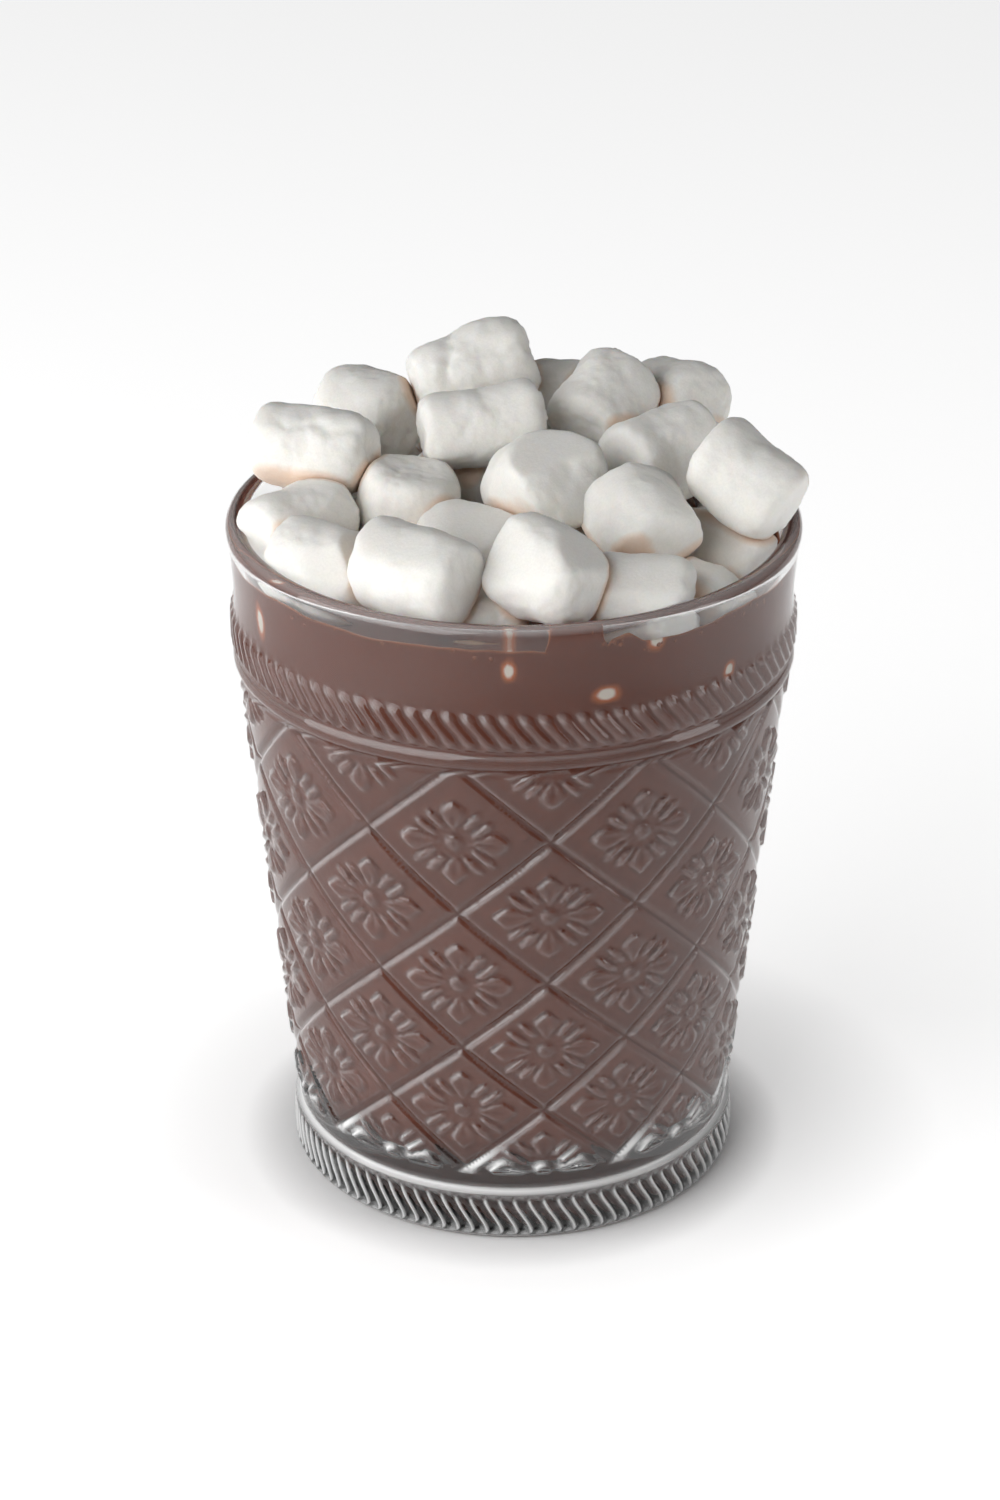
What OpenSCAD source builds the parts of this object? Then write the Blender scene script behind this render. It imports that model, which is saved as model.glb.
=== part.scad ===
// Hot chocolate in a pressed-glass tumbler, heaped with small marshmallows.
// Millimetres, +Z up. The origin is the middle of the foot, on the table.

/* [Glass] */
// Height of the glass, from the table to the top of its lip
glass_height = 108; // [90:1:130]
// Outer radius at the lip
mouth_radius = 43.7; // [36:0.1:52]
// Outer radius of the tapered wall where it meets the round ring
shoulder_radius = 42.4; // [35:0.1:50]
// Outer radius of the tapered wall just above the foot
waist_radius = 34.2; // [28:0.1:42]
// Thickness of the wall at the lip
wall = 3; // [2.4:0.1:4]
// Thickness of the wall where it meets the bottom
low_wall = 3.2; // [2.4:0.1:5]
// Thickness of glass under the drink
bottom = 10.4; // [8:0.1:14]
// Rounding of the inside where the wall meets the bottom
inner_round = 10; // [4:0.5:12]

/* [Foot] */
// Height of the fluted foot ring
foot_height = 8; // [6:0.5:10]
// How far the foot ring stands out past the waist
foot_bulge = 0.8; // [0.4:0.1:2]
// Rounding of the foot ring's two edges
foot_round = 1.4; // [0.5:0.1:2.5]
// Radius of the hollow under the glass
hollow_radius = 27; // [18:0.5:27]
// Depth of the hollow under the glass
hollow_depth = 2; // [1:0.1:3]

/* [Collar] */
// How far the middle of the round ring lies below the top of the lip
ring_drop = 21.8; // [18:0.1:26]
// Radius of the round ring's section
ring_bead = 1.7; // [1:0.1:2.2]
// How far the round ring stands out of the collar
ring_stand = 0.3; // [0.1:0.1:0.8]
// Height of the ribbed band above the round ring
band_height = 7; // [4:0.5:9]
// How far the ribbed band swells out of the collar
band_swell = 0.3; // [0.2:0.1:0.8]
// How much wider the lip is than the collar below it
lip_flare = 1; // [0.4:0.1:1.6]

/* [Drink] */
// How far the drink stays below the top of the lip
drink_drop = 6; // [4:0.5:20]

/* [Marshmallows] */
// Usual length of a marshmallow
sweet_length = 15; // [12:0.5:18]
// Usual width of a marshmallow
sweet_width = 12.5; // [10:0.5:15]
// Clearance between marshmallows, and between them and the glass
clearance = 0.8; // [0.6:0.1:1]
// Clearance between a marshmallow and the dent it makes in the drink
dent = 0.2; // [0.1:0.05:0.4]

/* [Hidden] */
$fn = 72;

// The lip is a full round, and the inside is a cone down to the rounded bottom
lip_round = wall / 2;
lip_z = glass_height - lip_round;
lip_ring = mouth_radius - lip_round;
inner_top = mouth_radius - wall;
inner_low = waist_radius - low_wall;
inner_lean = (inner_top - inner_low) / (lip_z - bottom);
function inner_radius(z) = inner_top - (lip_z - z) * inner_lean;

collar_radius = mouth_radius - lip_flare;
ring_z = glass_height - ring_drop;
band_z = ring_z + ring_bead;
drink_z = glass_height - drink_drop;

// Where each marshmallow is let go: across, back, height above the drink,
// heading, lean, length and width as shares of the usual ones, and how much
// narrower its far end is. The first ones float and the last crown the heap.
// Places across and back are for a mouth of layout_radius and spread with it.
layout_radius = 40.7;
SWEETS = [
    [ -4, -28,  2,  10,   0, 0.75, 0.80, 1.00],
    [-19, -10,  0,   0,   0, 0.75, 0.80, 1.00],
    [-34,  -5,  6,  38,   3, 1.00, 0.92, 1.00],
    [-29, -17,  5, -40,   0, 1.05, 0.96, 0.85],
    [  9, -15,  2, -20,   0, 0.85, 0.92, 1.00],
    [  8,   0,  1,  90,   0, 0.85, 0.92, 1.00],
    [ 27, -21,  1, 140,   0, 0.80, 0.80, 1.00],
    [ 18, -29,  4, -10,   0, 1.00, 0.96, 0.90],
    [ 33,  -9,  5, -35,   0, 1.00, 0.92, 1.00],
    [ -6, -13,  5, -45,  10, 0.95, 1.04, 0.90],
    [-16,  -1,  7,   0,  85, 0.80, 1.12, 1.00],
    [-28,   8,  1, -10,   0, 0.80, 0.88, 1.00],
    [ -8,  16,  5,  60,   0, 0.85, 0.96, 1.00],
    [ 22,   2,  0,  40,   0, 0.85, 0.92, 1.00],
    [-20,  24,  0, 100,   0, 0.95, 0.92, 1.00],
    [-31,  17,  1,  70,   0, 0.80, 0.88, 1.00],
    [ -8,  33,  1,  10,   0, 0.95, 0.92, 1.00],
    [  8,  16,  0,  10,   0, 0.95, 0.92, 1.00],
    [ 22,  18,  0, -50,   0, 0.95, 0.92, 1.00],
    [ 33,   6,  0,  80,   0, 0.85, 0.88, 1.00],
    [  9,  32,  0, -20,   0, 0.95, 0.92, 1.00],
    [-12, -28,  6, -35,   0, 1.05, 1.04, 0.95],
    [  5, -29,  6, -40,   0, 1.00, 1.04, 0.90],
    [ 18, -14,  8, -65, -10, 0.95, 1.10, 1.00],
    [-31,   4, 12, -20,   0, 1.15, 0.92, 1.00],
    [ 34,  -9, 11, -35, -25, 0.95, 1.00, 1.00],
    [ 24,   8,  8,  40,   5, 1.00, 1.08, 1.00],
    [ 33,  21,  4, -40,   0, 0.80, 0.88, 1.00],
    [-22,  25, 10, -40,   5, 0.95, 1.00, 1.00],
    [  6,  30,  8,   0,   0, 0.85, 0.96, 1.00],
    [  5,  -4, 11, -60,  30, 1.00, 1.12, 1.00],
    [ 25,  27, 10, -50,  10, 0.95, 1.00, 1.00],
    [ 15,  22, 14,  60,  20, 0.95, 1.04, 1.00],
    [ -5,  11, 15,  10,   5, 1.15, 0.88, 1.00],
    [ -5,  26, 17,  15,  15, 1.20, 1.00, 0.85],
];
count = len(SWEETS);
spread = inner_top / layout_radius;

function turn_of(i) = SWEETS[i][3];
function lean_of(i) = SWEETS[i][4];
function length_of(i) = SWEETS[i][5] * sweet_length;
function width_of(i) = SWEETS[i][6] * sweet_width;
function far_share(i) = SWEETS[i][7];

// Direction of a marshmallow's own axis
function axis_of(i) = [
    cos(turn_of(i)) * cos(lean_of(i)),
    sin(turn_of(i)) * cos(lean_of(i)),
    sin(lean_of(i))
];

// Width of a marshmallow at k, from -1 at its near end to 1 at its far end
function radius_at(i, k) = width_of(i) / 2 * ((1 + far_share(i)) + k * (far_share(i) - 1)) / 2;

// A marshmallow takes the room of a row of balls along its axis: [x, y, z, radius]
function balls_of(i) = let (
        near = radius_at(i, -1) - length_of(i) / 2,
        far = length_of(i) / 2 - radius_at(i, 1)
    ) far <= near ? [[0, 0, 0, radius_at(i, -1)]]
        : [for (k = [-1, 0, 1])
            concat(axis_of(i) * ((far + near) + k * (far - near)) / 2, [radius_at(i, k)])];
BALLS = [for (i = [0:count - 1]) balls_of(i)];
LONGEST = [for (i = [0:count - 1]) max(length_of(i), width_of(i)) / 2 + clearance];

// The balls of marshmallow i when its middle is at p
function moved(i, p) = [for (b = BALLS[i]) [b.x + p.x, b.y + p.y, b.z + p.z, b[3]]];

function total(vectors) = len(vectors) == 0 ? [0, 0, 0] : [for (v = vectors) 1] * vectors;
function longest(vectors) = let (sizes = [for (v = vectors) norm(v)], most = max(sizes))
    most > 0 ? vectors[search(most, sizes)[0]] : [0, 0, 0];

// How far ball a is pushed off ball b, half of their overlap
function push_off(a, b) = let (
        apart = [a.x - b.x, a.y - b.y, a.z - b.z],
        gap = max(norm(apart), 0.001),
        overlap = a[3] + b[3] + clearance - gap
    ) overlap > 0 ? apart * (overlap / gap / 2) : [0, 0, 0];

// How far ball a is pushed off the glass: up and off the lip, or in from the wall
function push_in(a) = let (
        out = max(norm([a.x, a.y]), 0.001),
        way = [a.x / out, a.y / out, 0],
        room = a[3] + clearance
    ) a.z < lip_z
        ? way * -max(0, out + room - inner_radius(a.z))
        : let (
            off = way * (out - lip_ring) + [0, 0, a.z - lip_z],
            gap = max(norm(off), 0.001)
        ) off * (max(0, room + lip_round - gap) / gap);

// How far ball a is lifted out of the drink, past half of its width
function push_up(a) = [0, 0, max(0, drink_z - 0.5 - a.z)];

// Letting the marshmallows go: they push one another apart, and for the first
// rounds each is drawn back to the place where it was let go.
ROUNDS = 70;
FREE_ROUNDS = 28;
DRAW = 0.06;
WANTED = [for (s = SWEETS) [s.x * spread, s.y * spread, drink_z + s[2]]];

function step_of(i, places, left) = let (mine = moved(i, places[i]))
    total([for (j = [0:count - 1])
        if (j != i && norm(places[i] - places[j]) < LONGEST[i] + LONGEST[j])
            longest([for (a = mine, b = moved(j, places[j])) push_off(a, b)])])
    + longest([for (a = mine) push_in(a)])
    + longest([for (a = mine) push_up(a)])
    + (left > FREE_ROUNDS ? DRAW : 0) * (WANTED[i] - places[i]);

function settle(places, left) = left == 0 ? places
    : settle([for (i = [0:count - 1]) places[i] + step_of(i, places, left)], left - 1);
SETTLED = settle(WANTED, ROUNDS);

// Then each comes to rest, from the lowest up: it stays afloat, or drops until it
// meets one that has come to rest, the wall or the lip.
function height_on(a, b) = let (
        room = a[3] + b[3] + clearance,
        spare = room * room - (a.x - b.x) ^ 2 - (a.y - b.y) ^ 2
    ) spare > 0 ? b.z + sqrt(spare) : 0;
function height_on_glass(a) = let (
        out = norm([a.x, a.y]),
        room = a[3] + clearance,
        spare = (room + lip_round) ^ 2 - (out - lip_ring) ^ 2
    ) out + room > inner_top
        ? (spare > 0 ? lip_z + sqrt(spare) : 0)
        : lip_z - (inner_top - out - room) / inner_lean;

function rest_height(i, resting) = let (
        p = SETTLED[i],
        mine = moved(i, [p.x, p.y, 0]),
        afloat = min(p.z, drink_z - 1 + max([for (a = mine) a[3] - a.z]))
    ) max(concat(
        [afloat],
        [for (a = mine) height_on_glass(a) - a.z],
        [for (a = mine, r = resting)
            if (norm([p.x - r[1].x, p.y - r[1].y]) < LONGEST[i] + LONGEST[r[0]])
                max([for (b = moved(r[0], r[1])) height_on(a, b) - a.z])]
    ));

function sorted(list) = len(list) <= 1 ? list : let (
        middle = SETTLED[list[floor(len(list) / 2)]].z
    ) concat(
        sorted([for (i = list) if (SETTLED[i].z < middle) i]),
        [for (i = list) if (SETTLED[i].z == middle) i],
        sorted([for (i = list) if (SETTLED[i].z > middle) i])
    );
ORDER = sorted([for (i = [0:count - 1]) i]);

function rest(k, resting) = k == count ? resting
    : let (i = ORDER[k], p = SETTLED[i])
    rest(k + 1, concat(resting, [[i, [p.x, p.y, rest_height(i, resting)]]]));
RESTING = rest(0, []);
function place_of(i) = [for (r = RESTING) if (r[0] == i) r[1]][0];

// Rounding of a marshmallow's edges, as a share of its width
edge_share = 0.42;
hair = 0.004;

function two_digits(i) = str(i < 10 ? "0" : "", i);

// Keeps the half of an outline that a revolve may turn
module right_half() {
    reach = 4 * glass_height;
    intersection() {
        children();
        translate([0, -reach])
            square([reach, 2 * reach]);
    }
}

// Tapered wall below, and the collar that flares to the lip
module wall_outline() {
    polygon([
        [0, foot_height / 2],
        [waist_radius - foot_bulge, foot_height / 2],
        [waist_radius, foot_height],
        [shoulder_radius, ring_z],
        [collar_radius, ring_z],
        [collar_radius, band_z + band_height],
        [mouth_radius, lip_z],
        [0, lip_z]
    ]);
    translate([lip_ring, lip_z])
        circle(r = lip_round);
}

module ring_outline() {
    translate([collar_radius + ring_stand - ring_bead, ring_z])
        circle(r = ring_bead);
}

// The ribbed band's swelling, an arc band_swell deep over band_height
module band_outline() {
    half = band_height / 2;
    arc = (half * half + band_swell * band_swell) / (2 * band_swell);
    intersection() {
        translate([collar_radius + band_swell - arc, band_z + half])
            circle(r = arc, $fn = 360);
        translate([inner_radius(band_z), band_z])
            square([wall * 3, band_height]);
    }
}

module foot_outline() {
    foot_radius = waist_radius + foot_bulge;
    square([foot_radius - foot_round, foot_height]);
    translate([0, foot_round])
        square([foot_radius, foot_height - 2 * foot_round]);
    for (z = [foot_round, foot_height - foot_round])
        translate([foot_radius - foot_round, z])
            circle(r = foot_round);
}

module hollow_outline() {
    arc = (hollow_radius * hollow_radius + hollow_depth * hollow_depth) / (2 * hollow_depth);
    right_half()
        translate([0, hollow_depth - arc])
            circle(r = arc, $fn = 720);
}

// The room inside the glass, from the bottom up to the height top
module inside_outline(top) {
    round_z = bottom + inner_round;
    round_x = inner_radius(round_z) - inner_round;
    polygon([
        [0, bottom],
        [round_x, bottom],
        [inner_radius(round_z), round_z],
        [inner_radius(top), top],
        [0, top]
    ]);
    intersection() {
        translate([round_x, round_z])
            circle(r = inner_round);
        translate([round_x, bottom])
            square(inner_round);
    }
}

module glass() {
    color([0.93, 0.95, 0.96, 0.35])
        rotate_extrude($fn = 96)
            difference() {
                union() {
                    wall_outline();
                    ring_outline();
                    band_outline();
                    foot_outline();
                }
                inside_outline(lip_z);
                hollow_outline();
            }
}

// Half outline of marshmallow i, a short rounded roll, larger by grow all round.
// Its side is the straight line along both rounded edges; a tapered side runs a
// hair inside them, so that line and curve cross cleanly.
module sweet_outline(i, grow) {
    edge = edge_share * min(width_of(i), length_of(i));
    near_edge = edge + grow;
    far_edge = edge * far_share(i) + grow;
    half = length_of(i) / 2 + grow;
    near = [radius_at(i, -1) + grow - near_edge, near_edge - half];
    far = [radius_at(i, 1) + grow - far_edge, half - far_edge];
    along = (far - near) / norm(far - near);
    tilt = asin((near_edge - far_edge) / norm(far - near));
    out = [along.y, -along.x] * cos(tilt) + along * sin(tilt);
    inside = far_share(i) < 1 ? hair : 0;
    right_half()
        union() {
            translate(near)
                circle(r = near_edge);
            translate(far)
                circle(r = far_edge);
            polygon([[0, -half], [near.x, -half], near + out * (near_edge - inside),
                far + out * (far_edge - inside), [far.x, half], [0, half]]);
        }
}

module sweet(i, grow = 0) {
    translate(place_of(i))
        rotate([0, 90 - lean_of(i), turn_of(i)])
            rotate_extrude($fn = 48)
                sweet_outline(i, grow);
}

// The drink fills the inside up to its level, dented by what floats in it
module chocolate() {
    color([0.36, 0.22, 0.18])
        difference() {
            rotate_extrude($fn = 96)
                inside_outline(drink_z);
            for (i = [0:count - 1])
                if (place_of(i).z - LONGEST[i] < drink_z)
                    sweet(i, dent);
        }
}

module marshmallow(i) {
    color([0.97, 0.95, 0.92])
        sweet(i);
}

glass();
chocolate();
for (i = [0:count - 1])
    marshmallow(i);
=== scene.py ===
"""Hot chocolate in a pressed-glass tumbler, heaped with small marshmallows."""

import math
import random

import bmesh
import bpy
import numpy as np
from mathutils import Matrix, Vector, noise


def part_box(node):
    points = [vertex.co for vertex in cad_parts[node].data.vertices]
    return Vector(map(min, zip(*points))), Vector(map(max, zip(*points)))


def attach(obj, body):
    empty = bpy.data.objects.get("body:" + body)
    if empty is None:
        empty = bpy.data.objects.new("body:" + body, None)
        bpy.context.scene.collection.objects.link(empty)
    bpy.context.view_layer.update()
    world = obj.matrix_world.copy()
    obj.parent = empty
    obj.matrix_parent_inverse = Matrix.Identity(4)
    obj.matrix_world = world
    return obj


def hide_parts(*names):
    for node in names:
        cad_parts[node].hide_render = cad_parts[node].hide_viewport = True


bl_info = {
    "name": "Hot Chocolate",
    "version": (1, 0, 0),
    "blender": (4, 5, 0),
    "location": "3D View > Sidebar > Hot Chocolate",
    "description": "Models hot chocolate with marshmallows in a pressed-glass tumbler",
    "category": "Add Mesh",
}

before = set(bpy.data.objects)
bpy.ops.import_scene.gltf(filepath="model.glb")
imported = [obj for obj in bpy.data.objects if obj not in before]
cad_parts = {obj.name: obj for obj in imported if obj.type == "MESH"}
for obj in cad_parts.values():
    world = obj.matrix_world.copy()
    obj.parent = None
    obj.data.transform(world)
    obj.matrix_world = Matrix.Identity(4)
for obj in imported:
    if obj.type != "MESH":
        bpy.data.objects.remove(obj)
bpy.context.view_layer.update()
MM = 0.001
BODY = "root"

# The glass as the frame has it, in millimetres
GLASS_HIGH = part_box("glass")[1] / MM
DRINK_LOW, DRINK_HIGH = (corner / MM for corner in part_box("chocolate"))
MOUTH = GLASS_HIGH.x
WALL = 3.0
LIP_ROUND = WALL / 2
LIP_Z = GLASS_HIGH.z - LIP_ROUND
INNER_TOP = MOUTH - WALL
BOTTOM = DRINK_LOW.z
LEVEL = DRINK_HIGH.z
INNER_LOW = 31.0
INNER_LEAN = (INNER_TOP - INNER_LOW) / (LIP_Z - BOTTOM)
INNER_ROUND = 10.0
WAIST, WAIST_Z = 34.2, 8.0
SHOULDER, RING_Z = MOUTH - 1.3, GLASS_HIGH.z - 21.8
COLLAR = MOUTH - 1.0
FOOT_TOP = 8.75
LATTICE_TOP = RING_Z - 2.0

# The lattice: diamonds round the glass, and the height of each row of crossings
DIAMONDS = 9
CELL = math.tau / DIAMONDS
CELL_COLUMNS = 48
LATTICE_COLUMNS = DIAMONDS * CELL_COLUMNS
FRONT = -math.pi / 2
LATTICE_TURN = FRONT + math.radians(7.5)
ROW_START, ROW_RISE, ROW_GROWTH = 23.5, 22.5, 0.9
LATTICE_FOOT = -0.5

# The slanted ribs of the collar and the slanted flutes of the foot
RIBS = 96
RIB_COLUMNS = 5 * RIBS
INNER_COLUMNS = RIB_COLUMNS // 2
FLUTE_LOW, FLUTE_HIGH = 0.9, 7.7
RIB_LOW, RIB_HIGH = 88.0, 94.3

# How the relief shows on the surface of the glass, as painted light and shade: how fast a
# bend counts as an edge and a lean as a flank, how milky the painted highlights on crests,
# on flanks facing the painted light and on edges are, how much of the tint is left in the
# painted shade of creases and of flanks facing away, and the way the painted light comes
# from, sideways round the glass and upwards, the same all round
EDGE_GAIN = 5.0
SIDE_GAIN = 1.9
CREST_HIGHLIGHT_MILK, FLANK_HIGHLIGHT_MILK, PAINTED_HIGHLIGHT_MILK = 0.09, 0.26, 0.6
PAINTED_SHADE_TINT = 0.42
PAINTED_LIGHT_SIDEWAYS, PAINTED_LIGHT_UPWARDS = -0.8, 0.6


def mix(a, b, t):
    return a + (b - a) * t


def clamp(x, low=0.0, high=1.0):
    return min(high, max(low, x))


def smooth(t):
    t = clamp(t)
    return t * t * (3 - 2 * t)


def bell(x):
    return math.exp(-x * x)


def inner_radius(z):
    return INNER_TOP - (LIP_Z - z) * INNER_LEAN


def outer_radius(z):
    return mix(WAIST, SHOULDER, (z - WAIST_Z) / (RING_Z - WAIST_Z))


def row_height(s):
    """Height of lattice row s; whole rows cross on one set of columns, half rows between."""
    return ROW_START + ROW_RISE * s + ROW_GROWTH * s * s


def row_at(z):
    root = ROW_RISE**2 + 4 * ROW_GROWTH * (z - ROW_START)
    return (math.sqrt(max(0.0, root)) - ROW_RISE) / (2 * ROW_GROWTH)


# ---------------------------------------------------------------- settings


class GlassSettings(bpy.types.PropertyGroup):
    groove_depth: bpy.props.FloatProperty(
        name="Groove depth",
        description="Depth of the lattice's V grooves",
        default=0.65 * MM,
        min=0.0,
        max=1.0 * MM,
        unit="LENGTH",
    )
    groove_width: bpy.props.FloatProperty(
        name="Groove width",
        description="Width of the lattice's V grooves",
        default=1.9 * MM,
        min=1.0 * MM,
        max=3.0 * MM,
        unit="LENGTH",
    )
    petal_height: bpy.props.FloatProperty(
        name="Petal height",
        description="How far the flowers' petals stand out of the wall",
        default=0.55 * MM,
        min=0.0,
        max=0.8 * MM,
        unit="LENGTH",
    )
    rib_height: bpy.props.FloatProperty(
        name="Rib height",
        description="How far the slanted ribs of the collar stand out",
        default=0.62 * MM,
        min=0.0,
        max=0.8 * MM,
        unit="LENGTH",
    )
    flute_depth: bpy.props.FloatProperty(
        name="Flute depth",
        description="Depth of the slanted flutes round the foot",
        default=0.85 * MM,
        min=0.0,
        max=0.9 * MM,
        unit="LENGTH",
    )
    # The painted highlights on crests and flanks take their milky white share away from this clearness
    clearness: bpy.props.FloatProperty(
        name="Clearness",
        description="How clear the plain glass is, before its crests and flanks turn milky",
        default=0.99,
        min=0.8,
        max=1.0,
        subtype="FACTOR",
    )
    tint: bpy.props.FloatVectorProperty(
        name="Tint",
        description="Colour of the clear glass",
        default=(0.985, 0.99, 0.99),
        min=0.0,
        max=1.0,
        size=3,
        subtype="COLOR",
    )


class DrinkSettings(bpy.types.PropertyGroup):
    colour: bpy.props.FloatVectorProperty(
        name="Colour",
        description="Colour of the drink",
        default=(0.18, 0.046, 0.022),
        min=0.0,
        max=1.0,
        size=3,
        subtype="COLOR",
    )
    film_colour: bpy.props.FloatVectorProperty(
        name="Film colour",
        description="Colour of the thin film where the drink meets the wall",
        default=(0.42, 0.15, 0.07),
        min=0.0,
        max=1.0,
        size=3,
        subtype="COLOR",
    )
    film_height: bpy.props.FloatProperty(
        name="Film height",
        description="How far the film climbs up the wall above the drink",
        default=1.6 * MM,
        min=0.2 * MM,
        max=4.0 * MM,
        unit="LENGTH",
    )
    into_wall: bpy.props.FloatProperty(
        name="Reach into the wall",
        description="How far the drink reaches into the glass, so that no gap shows",
        default=0.2 * MM,
        min=0.05 * MM,
        max=0.5 * MM,
        unit="LENGTH",
    )


class MarshmallowSettings(bpy.types.PropertyGroup):
    plumpness: bpy.props.FloatProperty(
        name="Plumpness",
        description="Size of each marshmallow against the frame's",
        default=1.1,
        min=0.9,
        max=1.15,
        subtype="FACTOR",
    )
    unevenness: bpy.props.FloatProperty(
        name="Unevenness",
        description="How far lumps and hollows stand out of the even shape",
        default=0.5 * MM,
        min=0.0,
        max=1.0 * MM,
        unit="LENGTH",
    )
    colour: bpy.props.FloatVectorProperty(
        name="Colour",
        description="Colour of the marshmallows",
        default=(0.95, 0.93, 0.885),
        min=0.0,
        max=1.0,
        size=3,
        subtype="COLOR",
    )
    # Also the colour of the painted shade where marshmallows press against their neighbours
    stain_and_contact_shade: bpy.props.FloatVectorProperty(
        name="Stain",
        description="Warm colour that the drink leaves where it soaks in",
        default=(0.72, 0.40, 0.20),
        min=0.0,
        max=1.0,
        size=3,
        subtype="COLOR",
    )


class StageSettings(bpy.types.PropertyGroup):
    floor_colour: bpy.props.FloatVectorProperty(
        name="Floor colour",
        description="Colour of the floor",
        default=(0.9, 0.9, 0.9),
        min=0.0,
        max=1.0,
        size=3,
        subtype="COLOR",
    )
    floor_glow: bpy.props.FloatProperty(
        name="Floor glow",
        description="Light that comes up through the floor",
        default=0.4,
        min=0.0,
        max=3.0,
    )
    surround: bpy.props.FloatProperty(
        name="Surround",
        description="Brightness of the studio behind the tumbler",
        default=1.4,
        min=0.0,
        max=3.0,
    )
    top: bpy.props.FloatProperty(
        name="Top",
        description="Brightness overhead, as a share of the surround",
        default=0.85,
        min=0.0,
        max=1.0,
        subtype="FACTOR",
    )
    front: bpy.props.FloatProperty(
        name="Front",
        description="Brightness of the studio in front of the tumbler",
        default=0.3,
        min=0.0,
        max=3.0,
    )
    key_power: bpy.props.FloatProperty(
        name="Key light",
        description="Power of the soft light on the left",
        default=8.9,
        min=0.0,
        max=100.0,
        unit="POWER",
    )


# ---------------------------------------------------------------- mesh helpers


def new_piece(name, bm, cad_nodes, material):
    """Makes the finished mesh a piece that rides on the body and stands for its CAD nodes."""
    if not bm.faces:
        raise RuntimeError(f"{name} came out empty")
    mesh = bpy.data.meshes.new(name)
    bm.to_mesh(mesh)
    bm.free()
    mesh.shade_smooth()
    mesh.materials.append(material)
    piece = bpy.data.objects.new(name, mesh)
    bpy.context.scene.collection.objects.link(piece)
    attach(piece, BODY)
    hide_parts(*cad_nodes)
    return piece


def spun(bm, profile, columns, turn=0.0):
    """Spins an open profile of (radius, height) points once round the upright axis."""
    part = bmesh.new()
    points = [part.verts.new((r * math.cos(turn), r * math.sin(turn), z)) for r, z in profile]
    line = [part.edges.new(pair) for pair in zip(points, points[1:])]
    bmesh.ops.spin(
        part,
        geom=points + line,
        cent=(0, 0, 0),
        axis=(0, 0, 1),
        angle=math.tau,
        steps=columns,
        use_merge=True,
    )
    bmesh.ops.remove_doubles(part, verts=part.verts, dist=1e-4)
    mesh = bpy.data.meshes.new("section")
    part.to_mesh(mesh)
    part.free()
    bm.from_mesh(mesh)
    bpy.data.meshes.remove(mesh)


def ring_edges(bm, radius, z):
    """The edges of the open ring at a radius and height."""
    near = 0.02
    return [
        e
        for e in bm.edges
        if e.is_boundary
        and all(abs(v.co.z - z) < near and abs(math.hypot(*v.co.xy) - radius) < near for v in e.verts)
    ]


def join_rings(bm, first, second):
    """Bridges two open rings, each given as (radius, height)."""
    edges = ring_edges(bm, *first) + ring_edges(bm, *second)
    bmesh.ops.bridge_loops(bm, edges=edges)


# ---------------------------------------------------------------- materials


class Nodes:
    """A material's nodes, made and linked in few words."""

    def __init__(self, name):
        self.material = bpy.data.materials.new(name)
        self.material.use_nodes = True
        self.tree = self.material.node_tree
        self.tree.nodes.clear()
        self.shader = self.add("ShaderNodeBsdfPrincipled")
        output = self.add("ShaderNodeOutputMaterial")
        self.tree.links.new(self.shader.outputs[0], output.inputs["Surface"])
        self.place = self.add("ShaderNodeTexCoord").outputs["Object"]

    def add(self, kind, inputs=None, **settings):
        node = self.tree.nodes.new(kind)
        for key, value in settings.items():
            setattr(node, key, value)
        for key, value in (inputs or {}).items():
            self.put(node.inputs[key], value)
        return node

    def put(self, socket, value):
        if isinstance(value, bpy.types.NodeSocket):
            self.tree.links.new(value, socket)
        elif hasattr(value, "__len__") and len(value) == 3 and socket.type == "RGBA":
            socket.default_value = (*value, 1)
        else:
            socket.default_value = value

    def noise(self, scale, detail=3, roughness=0.5):
        settings = {"Vector": self.place, "Scale": scale, "Detail": detail, "Roughness": roughness}
        return self.add("ShaderNodeTexNoise", settings).outputs["Fac"]

    def ramp(self, value, *stops):
        """Maps a value through (position, colour or grey) stops."""
        node = self.add("ShaderNodeValToRGB", {"Fac": value})
        band = node.color_ramp.elements
        while len(band) < len(stops):
            band.new(0.5)
        for element, (position, colour) in zip(band, stops):
            element.position = position
            grey = not hasattr(colour, "__len__")
            element.color = (colour,) * 3 + (1,) if grey else (*colour, 1)
        return node.outputs["Color"]

    def blend(self, factor, a, b, how="MIX"):
        node = self.add("ShaderNodeMix", data_type="RGBA", blend_type=how)
        self.put(node.inputs["Factor"], factor)
        self.put(node.inputs[6], a)
        self.put(node.inputs[7], b)
        return node.outputs[2]

    def maths(self, how, a, b=0.0, limit=False):
        node = self.add("ShaderNodeMath", operation=how, use_clamp=limit)
        self.put(node.inputs[0], a)
        self.put(node.inputs[1], b)
        return node.outputs[0]

    def attribute(self, name):
        return self.add("ShaderNodeAttribute", attribute_name=name).outputs["Fac"]

    def bump(self, height, strength, distance):
        node = self.add("ShaderNodeBump", {"Height": height, "Strength": strength, "Distance": distance})
        self.put(self.shader.inputs["Normal"], node.outputs[0])

    def set(self, **values):
        for key, value in values.items():
            self.put(self.shader.inputs[key.replace("_", " ")], value)


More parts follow.
